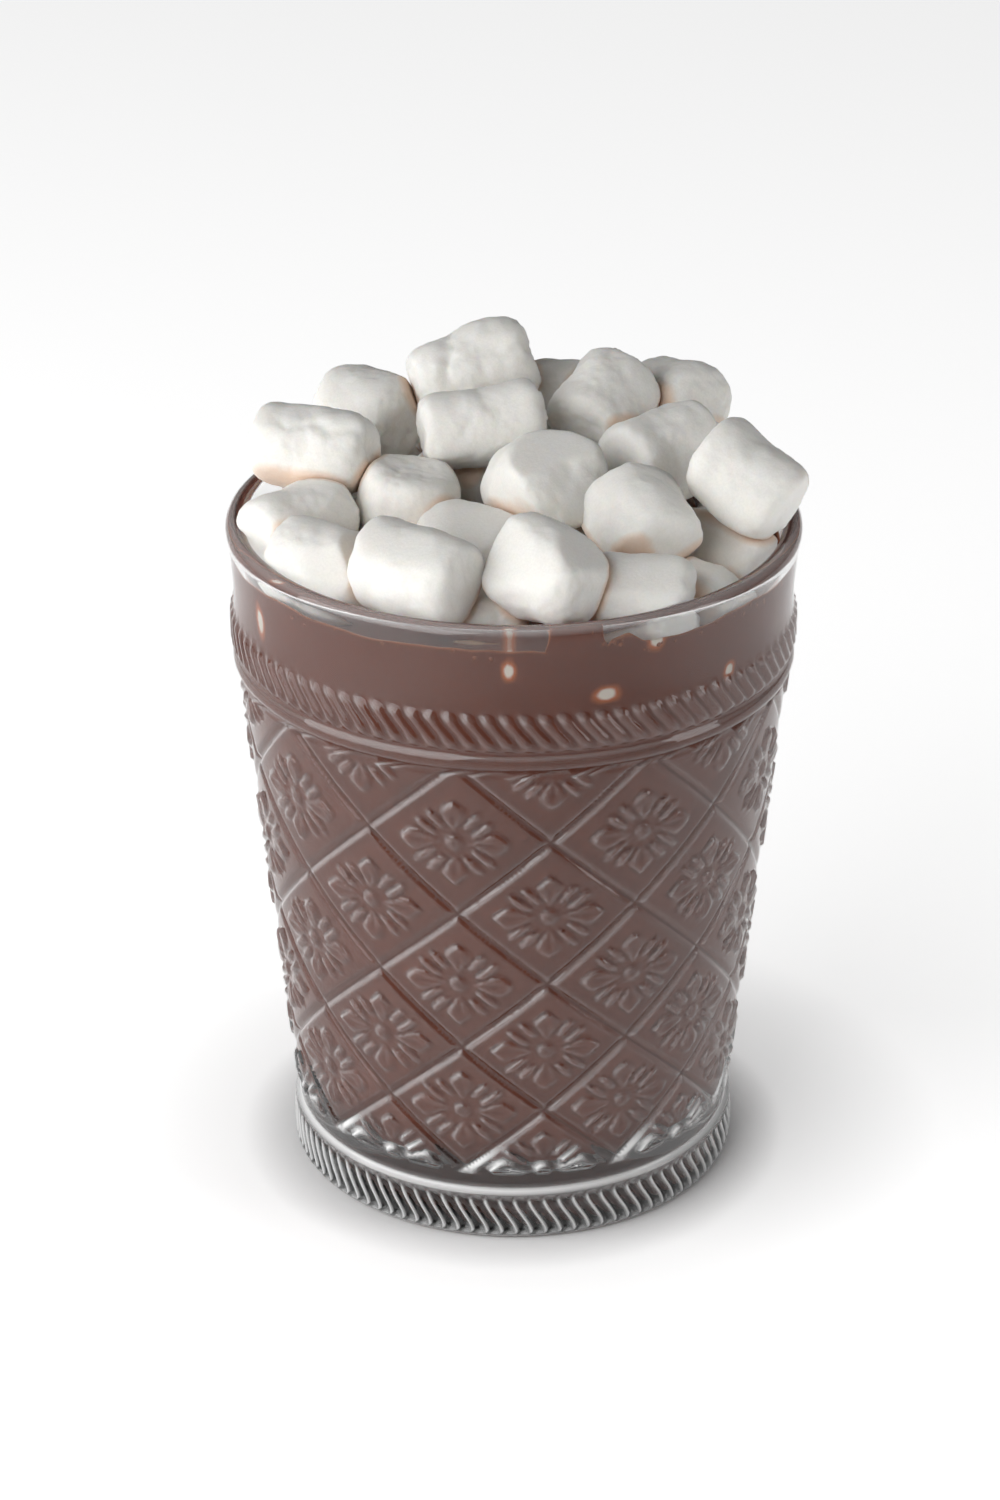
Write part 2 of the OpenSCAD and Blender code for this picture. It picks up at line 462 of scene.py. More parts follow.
def glass_material(settings):
    m = Nodes("pressed glass")
    tint = tuple(settings.tint)
    smears = m.ramp(m.noise(140, 4, 0.6), (0.45, 0.0), (0.85, 0.035))
    # Painted light and shade read from the relief: highlights on crests, on flanks facing the painted
    # light and along edges, shade in creases and on flanks facing away
    crease_shade = m.ramp(m.attribute("crease_shade"), (0.05, 0.0), (0.9, 1.0))
    crest_highlight = m.ramp(m.attribute("crest_highlight"), (0.1, 0.0), (1.0, 1.0))
    lit = m.ramp(m.attribute("lit"), (0.12, 0.0), (1.0, 1.0))
    shade = m.ramp(m.attribute("shade"), (0.12, 0.0), (1.0, 1.0))
    # Painted highlights: a milky white share that takes clearness away from the glass
    highlight_milk = m.maths("ADD", m.maths("MULTIPLY", crest_highlight, CREST_HIGHLIGHT_MILK), m.maths("MULTIPLY", lit, FLANK_HIGHLIGHT_MILK))
    highlight_milk = m.maths("ADD", highlight_milk, m.maths("MULTIPLY", m.attribute("painted_highlight"), PAINTED_HIGHLIGHT_MILK))
    clear = m.maths("SUBTRACT", settings.clearness, highlight_milk)
    # Painted shade: the tint turns darker in creases and on flanks facing away from the painted light
    dark = m.maths("MAXIMUM", crease_shade, m.maths("MULTIPLY", shade, 0.95))
    m.bump(m.noise(90, 2), 0.08, 0.0004)
    m.set(
        Base_Color=m.blend(dark, tint, tuple(c * PAINTED_SHADE_TINT for c in tint)),
        Roughness=smears,
        IOR=1.5,
        Specular_IOR_Level=0.28,
        Transmission_Weight=clear,
    )
    return m.material


# Where a marshmallow shows through the film: its warm edge and its pale middle
SPOT_EDGE, SPOT_MIDDLE = (0.55, 0.15, 0.045), (0.93, 0.86, 0.76)


def drink_material(settings):
    m = Nodes("hot chocolate")
    body = tuple(settings.colour)
    cloudy = m.ramp(
        m.noise(38, 4, 0.6), (0.3, tuple(c * 0.93 for c in body)), (0.75, tuple(c * 1.07 for c in body))
    )
    fine = m.ramp(m.noise(1400, 2), (0.3, 0.95), (0.7, 1.04))
    base = m.blend(1.0, cloudy, fine, "MULTIPLY")
    ragged = m.maths("MULTIPLY", m.maths("SUBTRACT", m.noise(600, 3), 0.5), 0.3)
    film = m.ramp(m.maths("ADD", m.attribute("film"), ragged), (0.55, 0.0), (1.0, 1.0))
    base = m.blend(film, base, tuple(settings.film_colour))
    spot = m.maths("ADD", m.attribute("spot"), ragged)
    base = m.blend(m.ramp(spot, (0.15, 0.0), (0.5, 1.0)), base, SPOT_EDGE)
    base = m.blend(m.ramp(spot, (0.52, 0.0), (0.75, 1.0)), base, SPOT_MIDDLE)
    m.set(
        Base_Color=base,
        Roughness=m.ramp(m.attribute("open"), (0.0, 0.75), (1.0, 0.25)),
        IOR=1.36,
    )
    return m.material


def marshmallow_material(settings):
    m = Nodes("marshmallow")
    body = tuple(settings.colour)
    patches = m.ramp(m.noise(110, 3, 0.55), (0.3, tuple(c * 0.95 for c in body)), (0.7, body))
    dust = m.ramp(m.noise(2600, 2, 0.7), (0.35, 0.97), (0.65, 1.02))
    base = m.blend(1.0, patches, dust, "MULTIPLY")
    uneven = m.maths("MULTIPLY", m.maths("SUBTRACT", m.noise(220, 4, 0.6), 0.5), 0.35)
    # Real stain where the drink soaks in near its level, and painted shade where marshmallows press
    # together, both in the same warm colour
    stained_and_shaded = m.ramp(m.maths("ADD", m.attribute("soak_and_contact_shade"), uneven), (0.15, 0.0), (1.0, 1.0))
    base = m.blend(stained_and_shaded, base, tuple(settings.stain_and_contact_shade))
    grain = m.maths("ADD", m.maths("MULTIPLY", m.noise(2200, 3, 0.65), 0.6), m.noise(520, 4, 0.6))
    m.bump(grain, 0.2, 0.0003)
    m.set(
        Base_Color=base,
        Roughness=m.ramp(m.noise(800, 2), (0.3, 0.62), (0.7, 0.85)),
        IOR=1.45,
        Subsurface_Weight=0.35,
        Subsurface_Scale=0.0025,
        Sheen_Weight=0.15,
    )
    m.shader.inputs["Subsurface Radius"].default_value = (1.0, 0.75, 0.55)
    return m.material


def floor_material(settings):
    """Plain and pale, with painted light: it glows as if lit through from below, but not under the
    glass, where the unlit floor paints the foot's shadow, and less towards the front.
    """
    m = Nodes("studio floor")
    body = tuple(settings.floor_colour)
    from_middle = m.add("ShaderNodeVectorMath", {0: m.place}, operation="LENGTH").outputs["Value"]
    reach = m.maths("DIVIDE", from_middle, 0.1, limit=True)
    # Painted light and shadow: the floor glows from 34.5 mm out from the middle, not under the glass,
    # which paints the foot's shadow, and fades to a quarter towards the front
    painted_glow = m.ramp(reach, (0.345, 0.0), (0.44, 0.42), (0.7, 0.62))
    axes = m.add("ShaderNodeSeparateXYZ", {0: m.place}).outputs
    forward = m.maths("ADD", axes["Y"], m.maths("MULTIPLY", axes["X"], -0.35))
    fade = {"Value": forward, "From Min": -0.24, "From Max": -0.11, "To Min": 0.25}
    painted_glow = m.maths("MULTIPLY", painted_glow, m.add("ShaderNodeMapRange", fade).outputs[0])
    m.set(
        Base_Color=m.ramp(m.noise(4, 2), (0.3, tuple(c * 0.99 for c in body)), (0.7, body)),
        Roughness=0.55,
        Emission_Color=(1, 1, 1),
        Emission_Strength=m.maths("MULTIPLY", painted_glow, settings.floor_glow * 2.8),
    )
    return m.material


# ---------------------------------------------------------------- the tumbler


def groove(u, slope, width):
    """Depth from 0 to 1 of the V groove that runs where u is whole."""
    off = abs(u - round(u)) / slope
    return max(0.0, 1 - off / (width / 2))


def petal(along, across, start, tip, half_width):
    """A plump kite-shaped petal with a sunk line along its inner half."""
    if not start < along < tip:
        return 0.0
    wide = mix(start, tip, 0.66)
    if along < wide:
        half = half_width * (0.16 + 0.84 * smooth((along - start) / (wide - start)))
    else:
        half = half_width * (1 - ((along - wide) / (tip - wide)) ** 1.6)
    if abs(across) >= half:
        return 0.0
    dome = (1 - (across / half) ** 2) ** 0.6 * min(1.0, (along - start) / 1.2) ** 0.5
    sunk = 0.55 * math.exp(-((across / 0.5) ** 2)) * smooth((tip - 0.9 - along) / 2)
    return dome * (1 - sunk)


# The two slender petals of a quarter flower: (across, up) of both ends
SLENDER = (((1.6, 2.6), (4.1, 5.2)), ((2.7, 1.15), (6.0, 3.8)))


def flower(a, b):
    """Height from 0 to 1 of the flower at (a, b) millimetres from its middle."""
    dome = math.hypot(a, b) / 1.35
    if dome < 1:
        return math.sqrt(1 - dome * dome) * 0.9 - 0.35 * max(0.0, 1 - dome * 3)
    a, b = abs(a), abs(b)
    best = max(petal(a, b, 1.9, 8.3, 2.0), petal(b, a, 1.9, 7.1, 2.0))
    for (a0, b0), (a1, b1) in SLENDER:
        da, db = a1 - a0, b1 - b0
        length = math.hypot(da, db)
        along = ((a - a0) * da + (b - b0) * db) / length
        across = ((a - a0) * db - (b - b0) * da) / length
        if 0 < along < length:
            half = 0.72 * math.sqrt(math.sin(math.pi * along / length))
            if abs(across) < half:
                best = max(best, 0.85 * (1 - (across / half) ** 2) ** 0.6)
    return best


def lattice_relief(turn, s, radius, settings):
    """How far the wall stands out, in millimetres, at a turn in cells and a row."""
    u, v = turn + s, turn - s
    cell_width = CELL * radius
    cell_height = ROW_RISE + 2 * ROW_GROWTH * s
    slope = math.hypot(1 / cell_width, 1 / cell_height)
    width = settings.groove_width / MM
    cut = max(groove(u, slope, width), groove(v, slope, width))
    fade = smooth((s - LATTICE_FOOT) * cell_height / 0.9 + 1)
    mid_u, mid_v = math.floor(u) + 0.5, math.floor(v) + 0.5
    a = (turn - (mid_u + mid_v) / 2) * cell_width
    b = (s - (mid_u - mid_v) / 2) * cell_height
    return fade * (settings.petal_height / MM * flower(a, b) - settings.groove_depth / MM * cut)


def rib_relief(turn, z, settings):
    """A rounded rib with blunt ends; turn counts ribs."""
    part = turn - math.floor(turn)
    body = math.sin(math.pi * part) ** 1.3
    ends = smooth((z - RIB_LOW) / 1.3) * smooth((RIB_HIGH - z) / 1.3)
    return settings.rib_height / MM * body * ends


def flute_relief(turn, z, settings):
    """A scooped flute between sharp edges; turn counts flutes."""
    part = turn - math.floor(turn)
    scoop = 1 - (2 * part - 1) ** 2
    ends = smooth((z - FLUTE_LOW) / 1.1) * smooth((FLUTE_HIGH - z) / 1.6)
    return -settings.flute_depth / MM * scoop * ends


def rib_lean(z):
    """How far the ribs lean sideways at a height, in ribs."""
    return 1.3 * smooth((RIB_HIGH - z) / (RIB_HIGH - RIB_LOW))


def flute_lean(z):
    return 1.25 * smooth((FLUTE_HIGH - z) / (FLUTE_HIGH - FLUTE_LOW))


def foot_profile():
    hollow = [(r, 2.0 * (1 - (r / 27) ** 2)) for r in (0, 6, 12, 18, 23, 27)]
    edge = [(31, 0), (33.6, 0), (34.3, 0.12), (34.75, 0.45), (34.9, 0.8)]
    flutes = [
        (35.05 + 0.3 * math.sin(math.pi * z / 8), z)
        for z in np.linspace(FLUTE_LOW + 0.15, FLUTE_HIGH, 13)
    ]
    shoulder = [(35.1, 7.95), (34.85, 8.25), (34.5, 8.45), (34.3, 8.7)]
    return hollow + edge + flutes + shoulder


def lattice_profile():
    plain = [(outer_radius(z), z) for z in (9.1, 9.8, 10.6)]
    first = row_at(10.9) * CELL_COLUMNS
    rows = [k / CELL_COLUMNS for k in range(math.ceil(first), 3 * CELL_COLUMNS)]
    rows = [s for s in rows if row_height(s) < LATTICE_TOP]
    return plain + [(outer_radius(row_height(s)), row_height(s)) for s in rows]


def collar_profile():
    ring = [
        (COLLAR + 0.4 - 1.7 + 1.7 * math.cos(a), RING_Z + 1.7 * math.sin(a))
        for a in np.radians((-72, -50, -28, -8, 12, 34, 56))
    ]
    ribs = [(COLLAR + 0.1, z) for z in np.linspace(RIB_LOW + 0.15, RIB_HIGH, 12)]
    band = [(COLLAR + 0.05, 95.2), (COLLAR + 0.05, 97), (COLLAR + 0.2, 99.5), (COLLAR + 0.42, 102)]
    band += [(COLLAR + 0.66, 104.4), (MOUTH - 0.08, 105.8)]
    lip = [
        (INNER_TOP + LIP_ROUND + LIP_ROUND * math.cos(a), LIP_Z + LIP_ROUND * math.sin(a))
        for a in np.linspace(0, math.pi, 10)
    ]
    return ring + ribs + band + lip + [(inner_radius(105.6), 105.6)]


def inside_profile():
    walls = [(inner_radius(z), z) for z in (104.6, 102.5, 99, 92, 84, 75, 65, 55, 45, 35, 27)]
    round_z = BOTTOM + INNER_ROUND
    round_x = inner_radius(round_z) - INNER_ROUND
    corner = [
        (round_x + INNER_ROUND * math.cos(a), round_z - INNER_ROUND * math.sin(a))
        for a in np.linspace(0, math.pi / 2, 9)
    ]
    return walls + corner + [(14, BOTTOM), (7, BOTTOM), (0, BOTTOM)]


def tidy_quads(bm, settings):
    """Splits each lattice quad along the diagonal that follows the relief."""
    split = {"FIXED": [], "ALTERNATE": []}
    for f in bm.faces:
        if len(f.verts) != 4:
            continue
        middle = f.calc_center_median()
        if not 10.5 < middle.z < LATTICE_TOP or math.hypot(*middle.xy) < inner_radius(middle.z) + 1:
            continue
        flat = [math.hypot(*v.co.xy) - outer_radius(v.co.z) for v in f.verts]
        turn = (math.atan2(middle.y, middle.x) - LATTICE_TURN) / CELL
        s = sum(row_at(v.co.z) for v in f.verts) / 4
        true = lattice_relief(turn, s, outer_radius(middle.z), settings)
        first, second = (flat[0] + flat[2]) / 2, (flat[1] + flat[3]) / 2
        split["FIXED" if abs(first - true) < abs(second - true) else "ALTERNATE"].append(f)
    for method, faces in split.items():
        bmesh.ops.triangulate(bm, faces=faces, quad_method=method)


def paint_relief_light_and_shade(bm, relief):
    """Paints light and shade onto the relief: notes how sharply it stands up or sinks in, for painted
    highlights on crests and painted shade in creases, which flanks face the painted light and turn pale
    and which face away and turn dark, and where painted highlights go low on the lit flanks, on the
    foot's ridges, round the foot's shoulder ring and along the base edge.
    """
    names = ("crest_highlight", "crease_shade", "lit", "shade", "painted_highlight")
    layers = {name: bm.verts.layers.float.new(name) for name in names}
    bm.normal_update()
    for v in bm.verts:
        around = [e.other_vert(v)[relief] for e in v.link_edges]
        bend = v[relief] - sum(around) / len(around)
        v[layers["crest_highlight"]] = clamp(bend * EDGE_GAIN)
        v[layers["crease_shade"]] = clamp(-bend * EDGE_GAIN)
        if (not any(around) and not v[relief]) or math.hypot(*v.co.xy) < inner_radius(v.co.z) + 1:
            continue
        angle = math.atan2(v.co.y, v.co.x)
        along = Vector((-math.sin(angle), math.cos(angle), 0))
        outward = 1 if v.normal.dot(v.co.xy.to_3d()) > 0 else -1
        # The painted light comes from one side round the glass and from above, the same all round;
        # flanks facing it get painted highlight, flanks facing away painted shade
        side = outward * v.normal.dot(along * PAINTED_LIGHT_SIDEWAYS + Vector((0, 0, PAINTED_LIGHT_UPWARDS))) - 0.02
        v[layers["lit"]] = clamp(side * SIDE_GAIN)
        # Painted highlights: low on the lit flanks above the foot, along the foot's ridges, round the
        # shoulder ring at 8.5 mm and along the base edge
        low = clamp(side * 3 + 0.2) * smooth((17.5 - v.co.z) / 4) if v.co.z > 9.2 else 0.0
        ridge = v[layers["crest_highlight"]] if v.co.z < WAIST_Z else 0.0
        v[layers["painted_highlight"]] = max(low, ridge, bell((v.co.z - 8.5) / 0.42), bell((v.co.z - 0.5) / 0.35))
        v[layers["shade"]] = clamp(-side * SIDE_GAIN)


class HOTCHOC_OT_tumbler(bpy.types.Operator):
    """Models the pressed-glass tumbler with its lattice, flowers, ribs and fluted foot"""

    bl_idname = "hotchoc.tumbler"
    bl_label = "Tumbler"

    def execute(self, context):
        settings = context.scene.hotchoc_glass
        bm = bmesh.new()
        foot, lattice = foot_profile(), lattice_profile()
        collar, inside = collar_profile(), inside_profile()
        spun(bm, foot, RIB_COLUMNS, FRONT)
        spun(bm, lattice, LATTICE_COLUMNS, LATTICE_TURN)
        spun(bm, collar, RIB_COLUMNS, FRONT)
        spun(bm, inside, INNER_COLUMNS, FRONT)
        join_rings(bm, foot[-1], lattice[0])
        join_rings(bm, lattice[-1], collar[0])
        join_rings(bm, collar[-1], inside[0])
        relief = bm.verts.layers.float.new("relief")
        for v in bm.verts:
            radius, z = math.hypot(*v.co.xy), v.co.z
            if radius < inner_radius(z) + 0.8 or radius < 34:
                continue
            angle = math.atan2(v.co.y, v.co.x)
            turn = (angle - FRONT) / math.tau * RIBS
            push = 0.05 * noise.noise(v.co / 9)
            if z < FOOT_TOP:
                push += flute_relief(turn, z, settings)
                angle += flute_lean(z) * math.tau / RIBS
            elif z < RING_Z - 1.75:
                s = row_at(z)
                push += lattice_relief((angle - LATTICE_TURN) / CELL, s, radius, settings)
            else:
                if RIB_LOW - 0.1 < z < RIB_HIGH + 0.1:
                    push += rib_relief(turn, z, settings)
                angle += rib_lean(z) * math.tau / RIBS
            v[relief] = push
            v.co.x = (radius + push) * math.cos(angle)
            v.co.y = (radius + push) * math.sin(angle)
        paint_relief_light_and_shade(bm, relief)
        tidy_quads(bm, settings)
        bmesh.ops.recalc_face_normals(bm, faces=bm.faces)
        open_edges = sum(e.is_boundary for e in bm.edges)
        if open_edges:
            raise RuntimeError(f"the tumbler has {open_edges} open edges")
        bmesh.ops.scale(bm, vec=(MM, MM, MM), verts=bm.verts)
        new_piece("glass_tumbler", bm, ["glass"], glass_material(settings))
        return {"FINISHED"}


# ---------------------------------------------------------------- the drink

# Where a marshmallow rests against the wall and shows through the drink's film:
# degrees round from the front, height, half width and half height
WALL_SPOTS = (
    (-1.2, 100.6, 0.75, 1.3),
    (19.0, 95.6, 1.5, 1.0),
    (29.5, 103.4, 1.0, 1.3),
    (-64.0, 98.0, 0.9, 2.0),
    (50.0, 93.8, 0.8, 1.1),
)
BUBBLES = 110
DRINK_COLUMNS = 480
FILM_THICKNESS = 0.35


def film_top(angle, settings):
    """Height of the film's wavy upper edge at an angle from the front, in degrees."""
    turn = math.radians(angle)
    ripple = 0.9 * noise.noise(Vector((math.cos(turn), math.sin(turn), 0)) * 3.1)
    ripple += 0.5 * noise.noise(Vector((math.cos(turn), math.sin(turn), 4)) * 9.0)
    climb = 3.6 * smooth((angle - 6.2) / 1.0) * smooth((18.6 - angle) / 1.4)
    climb += 1.2 * smooth((angle - 18) / 2) * smooth((27 - angle) / 4)
    return LEVEL + settings.film_height / MM + ripple + climb


def drink_profile(into_wall):
    round_z = BOTTOM + INNER_ROUND
    round_x = inner_radius(round_z) - INNER_ROUND
    reach = INNER_ROUND + into_wall
    bottom = [(0, BOTTOM - into_wall), (8, BOTTOM - into_wall), (15, BOTTOM - into_wall)]
    corner = [
        (round_x + reach * math.sin(a), round_z - reach * math.cos(a))
        for a in np.linspace(0, math.pi / 2, 13)
    ]
    wall = [(inner_radius(z) + into_wall, z) for z in np.arange(round_z + 3, 84, 4.0)]
    fine = [(inner_radius(z) + into_wall, z) for z in np.arange(86, LEVEL - 0.3, 0.5)]
    return bottom + corner + wall + fine


class HOTCHOC_OT_drink(bpy.types.Operator):
    """Models the hot chocolate with its film on the wall and its bubbles"""

    bl_idname = "hotchoc.drink"
    bl_label = "Drink"

    def execute(self, context):
        settings = context.scene.hotchoc_drink
        into_wall = settings.into_wall / MM
        bm = bmesh.new()
        profile = drink_profile(into_wall)
        rise = [0.0, 0.35, 0.7, 0.9, 1.0]
        film = [(inner_radius(LEVEL) + into_wall, LEVEL + k) for k in rise]
        back = [(inner_radius(LEVEL) - FILM_THICKNESS, LEVEL + k) for k in reversed(rise)]
        shore = [(inner_radius(LEVEL) - 0.7, LEVEL - 0.1), (inner_radius(LEVEL) - 1.4, LEVEL - 0.25)]
        surface = [(r, LEVEL - 0.3) for r in (37.5, 34, 30, 25, 20, 15, 10, 5, 0)]
        spun(bm, profile + film + back + shore + surface, DRINK_COLUMNS, FRONT)
        film_layer = bm.verts.layers.float.new("film")
        spot_layer = bm.verts.layers.float.new("spot")
        open_layer = bm.verts.layers.float.new("open")
        for v in bm.verts:
            radius, z = math.hypot(*v.co.xy), v.co.z
            angle = math.atan2(v.co.y, v.co.x)
            from_front = math.degrees((angle - FRONT + math.pi) % math.tau - math.pi)
            if z > LEVEL + 0.001 or (radius > inner_radius(LEVEL) - 0.5 and z >= LEVEL):
                top = film_top(from_front, settings)
                share = z - LEVEL
                new_z = mix(LEVEL, top, share)
                side = radius - inner_radius(LEVEL)
                radius = inner_radius(new_z) + side * (1 if share < 0.95 else 0.6)
                v.co.x, v.co.y, v.co.z = radius * math.cos(angle), radius * math.sin(angle), new_z
                v[film_layer] = share**3
            elif radius < inner_radius(LEVEL) - 0.5 and z > LEVEL - 1:
                v.co.z += 0.25 * noise.noise(v.co / 5) + 0.12 * noise.noise(v.co / 1.7)
                v[open_layer] = 1.0
            for spot_angle, spot_z, half_width, half_height in WALL_SPOTS:
                a = math.radians(from_front - spot_angle) * radius / half_width
                b = (v.co.z - spot_z) / half_height
                v[spot_layer] = max(v[spot_layer], math.exp(-0.55 * (a * a + b * b)))
        self.bubbles(bm, settings, film_layer)
        bmesh.ops.recalc_face_normals(bm, faces=bm.faces)
        bmesh.ops.scale(bm, vec=(MM, MM, MM), verts=bm.verts)
        new_piece("hot_chocolate", bm, ["chocolate"], drink_material(settings))
        return {"FINISHED"}

    def bubbles(self, bm, settings, film_layer):
        """Small bubbles in a row under the film's edge."""
        rng = random.Random(7)
        for _ in range(BUBBLES):
            angle = rng.uniform(-180, 180)
            size = rng.uniform(0.16, 0.42)
            z = film_top(angle, settings) - rng.uniform(0.3, 1.6)
            turn = math.radians(angle) + FRONT
            radius = inner_radius(z) + 0.1
            at = Matrix.Translation((radius * math.cos(turn), radius * math.sin(turn), z))
            made = bmesh.ops.create_icosphere(bm, subdivisions=2, radius=size, matrix=at)
            for v in made["verts"]:
                v[film_layer] = 0.78


# ---------------------------------------------------------------- the marshmallows

# Cuts across each side of the cube that a marshmallow is blown up from
GRID = 30


def cad_pose(node):
    """Middle, axis, half length and half width of a CAD marshmallow, in millimetres."""
    points = np.array([v.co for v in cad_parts[node].data.vertices]) / MM
    middle = (points.max(0) + points.min(0)) / 2
    spread, directions = np.linalg.eigh(np.cov((points - middle).T))
    odd = 2 if spread[2] - spread[1] > spread[1] - spread[0] else 0
    axis = directions[:, odd]
    along = (points - middle) @ axis
    across = np.linalg.norm((points - middle) - np.outer(along, axis), axis=1)
    middle = middle + axis * (along.max() + along.min()) / 2
    axis = Vector(axis if axis[2] >= 0 else -axis)
    return Vector(middle), axis, (along.max() - along.min()) / 2, across.max()


def rounded_cube(bm):
    """A finely divided cube to be blown up into a marshmallow."""
    bmesh.ops.create_cube(bm, size=2.0)
    bmesh.ops.subdivide_edges(bm, edges=bm.edges, cuts=GRID, use_grid_fill=True)


def toward(azimuth, elevation):
    """Unit vector; azimuth 0 is the front, 90 the right."""
    a, e = math.radians(azimuth - 90), math.radians(elevation)
    return Vector((math.cos(a) * math.cos(e), math.sin(a) * math.cos(e), math.sin(e)))


# What is special about a marshmallow: flat sides as (azimuth, elevation, how far the
# side is pressed in, in millimetres), folds as (azimuth, elevation, heading of the
# fold, depth), how crumpled its ends are, and how square it is
SPECIAL = {
    4: {"flats": [(-20, 35, 1.4), (60, 40, 1.2)], "square": 4.2},
    8: {"flats": [(0, 60, 0.8)]},
    10: {"flats": [(10, 70, 1.6), (50, 20, 1.0)], "crumple": 0.7},
    11: {"dish": 1.0, "square": 4.2},
    22: {"flats": [(-30, 60, 0.8)]},
    23: {"flats": [(-50, 35, 1.5), (70, 50, 0.7)], "square": 4.2},
    24: {"square": 5.5, "crumple": 0.5},
    25: {"square": 5.0, "crumple": 0.5, "folds": [(20, 50, 30, 0.35)]},
    26: {"square": 6.5},
    27: {"square": 5.5, "crumple": 0.3},
    29: {"square": 5.2, "crumple": 0.9},
    31: {"square": 6.5, "flats": [(0, 75, 0.9)], "crumple": 0.4},
    32: {"folds": [(-40, 30, 80, 0.6)], "crumple": 0.6},
    33: {"square": 5.5, "crumple": 1.0},
    34: {"square": 6.5, "flats": [(10, 75, 0.6)], "crumple": 0.7},
    35: {"square": 4.2, "folds": [(-35, 30, 60, 0.6), (40, 45, 20, 0.35)], "crumple": 0.8},
}


class HOTCHOC_OT_marshmallows(bpy.types.Operator):
    """Models every marshmallow, each with its own lumps, flats and folds"""

    bl_idname = "hotchoc.marshmallows"
    bl_label = "Marshmallows"

    def execute(self, context):
        settings = context.scene.hotchoc_marshmallow
        material = marshmallow_material(settings)
        names = sorted(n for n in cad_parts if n.startswith("marshmallow_"))
        poses = {n: cad_pose(n) for n in names}
        for number, name in enumerate(names, 1):
            self.model(name, number, poses, settings, material)
        return {"FINISHED"}

    def model(self, name, number, poses, settings, material):
        rng = random.Random(number)
        special = SPECIAL.get(number, {})
        middle, axis, half_length, half_width = poses[name]
        grow = settings.plumpness
        length, width = half_length * grow, half_width * grow
        square = special.get("square", rng.uniform(4.4, 6.0))
        crumple = special.get("crumple", rng.uniform(0.2, 0.6))
        oval = rng.uniform(0.94, 1.06)
        taper = rng.uniform(-0.07, 0.07)
        bend = rng.uniform(-0.8, 0.8)
        shift = Vector((rng.uniform(-50, 50), rng.uniform(-50, 50), rng.uniform(-50, 50)))
        lift = axis.to_track_quat("Z", "Y").to_matrix().to_4x4()
        place = Matrix.Translation(middle) @ lift @ Matrix.Rotation(rng.uniform(0, math.tau), 4, "Z")
        lumps = settings.unevenness / MM

        others = [pose for other, pose in poses.items() if other != name]
        planes = [plane for plane in (self.contact(*poses[name], *pose) for pose in others) if plane]
        flats = [(toward(*side[:2]), side[2]) for side in special.get("flats", ())]

        bm = bmesh.new()
        rounded_cube(bm)
        soak_and_contact_shade = bm.verts.layers.float.new("soak_and_contact_shade")
        reach = max(length, width)
        for v in bm.verts:
            d = v.co.normalized()
            rho = math.hypot(d.x, d.y)
            size = ((rho / width) ** square + (abs(d.z) / length) ** square) ** (-1 / square)
            p = d * size
            k = p.z / length
            p.x *= oval * (1 + taper * k)
            p.y *= (1 + taper * k) / oval
            p.x += bend * (k * k - 0.4)
            inner = clamp(1 - rho * size / width)
            end = smooth((abs(d.z) * size / length - 0.75) / 0.25)
            ripple = noise.noise(p * 0.55 + shift) * 0.6 + abs(noise.noise(p * 0.9 + shift)) * -0.9
            push = lumps * (noise.noise(p * 0.16 + shift) * 1.3 + noise.noise(p * 0.34 + shift) * 0.5)
            push += 0.12 * noise.noise(p * 0.9 + shift)
            push += crumple * end * (ripple * 0.8 - 0.35 * inner)
            if "dish" in special and d.z > 0:
                push -= special["dish"] * smooth(inner * 1.6) * smooth(d.z * 2)
            p += d * push
            q = place @ p
            for way, pressed in flats:
                along = (q - middle).dot(way)
                limit = reach * 0.9 - pressed
                q -= way * self.over(along - limit, 0.35)
            for azimuth, elevation, heading, depth in special.get("folds", ()):
                q += self.fold(q - middle, toward(azimuth, elevation), heading, depth, reach)
            # Painted shade: points near where a neighbour presses get the warm stain colour
            neighbour_shade = 0.0
            for point, way in planes:
                along = (q - point).dot(way)
                q -= way * self.over(along, 0.22)
                neighbour_shade = max(neighbour_shade, smooth(1 + along / 1.6) * 0.55)
            out = math.hypot(q.x, q.y)
            if q.z < LIP_Z:
                over = self.over(out - (inner_radius(q.z) - 0.12), 0.2)
                q.x, q.y = q.x * (1 - over / out), q.y * (1 - over / out)
            else:
                away = Vector((out - (INNER_TOP + LIP_ROUND), q.z - LIP_Z))
                room = LIP_ROUND + 0.08
                if away.length < room + 0.6 and q.z > LIP_Z:
                    move = self.over(room - away.length, 0.2)
                    away = away.normalized() * move
                    q.x += q.x / out * away.x
                    q.y += q.y / out * away.x
                    q.z += away.y
            v.co = q
            # Real stain near the drink's level, or the painted neighbour shade, whichever is more
            wet = smooth((LEVEL + 2.2 - q.z) / 3.2)
            v[soak_and_contact_shade] = max(wet, neighbour_shade)
        bmesh.ops.recalc_face_normals(bm, faces=bm.faces)
        bmesh.ops.scale(bm, vec=(MM, MM, MM), verts=bm.verts)
        new_piece(f"soft_{name}", bm, [name], material)

    @staticmethod
    def over(x, soft):
        """How far x is past 0, easing in over a soft width."""
        if x > 6 * soft:
            return x
        if x < -6 * soft:
            return 0.0
        return soft * math.log1p(math.exp(x / soft))

